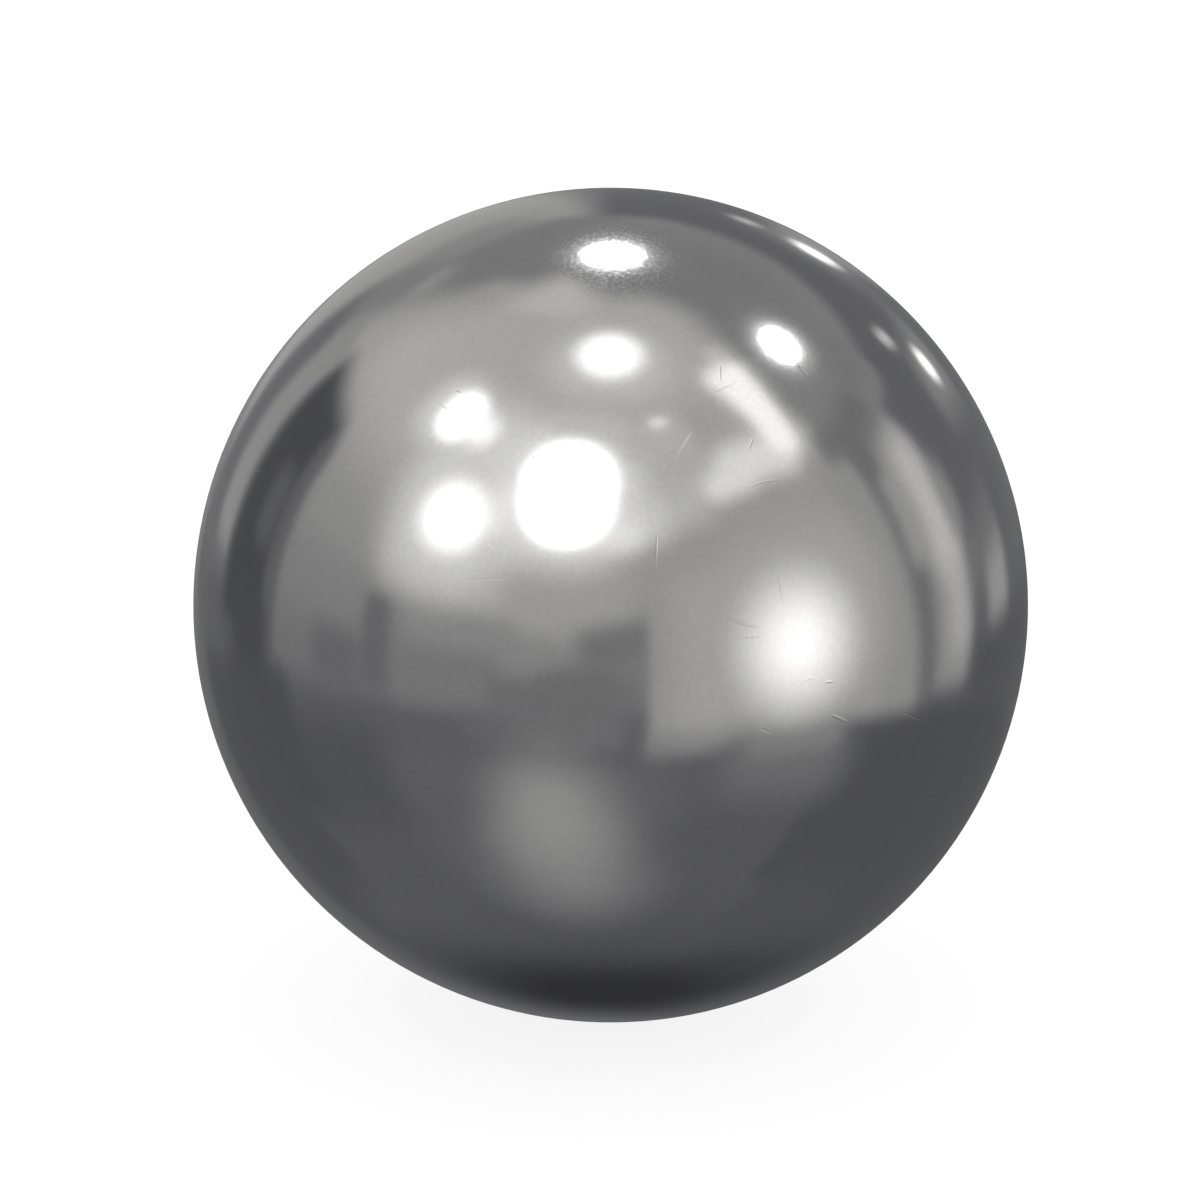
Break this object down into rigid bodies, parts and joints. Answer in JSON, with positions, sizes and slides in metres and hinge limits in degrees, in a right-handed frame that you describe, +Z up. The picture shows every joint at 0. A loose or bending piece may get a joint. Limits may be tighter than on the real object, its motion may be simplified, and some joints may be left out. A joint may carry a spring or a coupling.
{
  "type": "steel ball",
  "caption": "Solid polished steel ball with light handling scratches, for a bearing, a check valve, a detent or a desk toy.",
  "frame": {"origin": "centre of the ball", "axes": "+Z up; every axis through the origin is an axis of symmetry; the ball's lowest point is one radius under the origin"},
  "size_m": [0.0254, 0.0254, 0.0254],
  "materials": {
    "polished_steel": "polished"
  },
  "bodies": {
    "root": {"ball": "polished_steel"}
  },
  "joints": []
}
